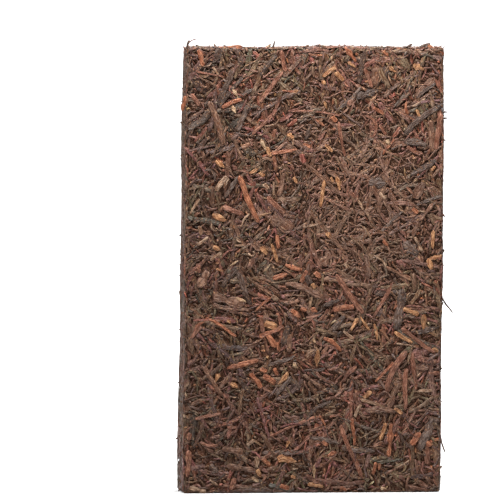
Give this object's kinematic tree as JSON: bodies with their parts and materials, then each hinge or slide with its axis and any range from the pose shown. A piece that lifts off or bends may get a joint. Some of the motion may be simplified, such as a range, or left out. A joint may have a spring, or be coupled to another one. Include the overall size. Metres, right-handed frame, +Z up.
{
  "type": "pu erh tea brick",
  "caption": "Brick of pressed ripe tea, standing on a short end: a flat block of dark twisted leaf, reddish stems and golden buds, with a rough edge.",
  "frame": {"origin": "middle of the base, which is the short end that the brick stands on", "axes": "+Z up along the brick's length, +X along its width, +Y through its thickness, away from the shown face"},
  "size_m": [0.147, 0.03, 0.25],
  "materials": {
    "pressed_tea": "dry pressed leaf, dull with a slight sheen"
  },
  "bodies": {
    "root": {"tea_brick": "pressed_tea"}
  },
  "joints": []
}
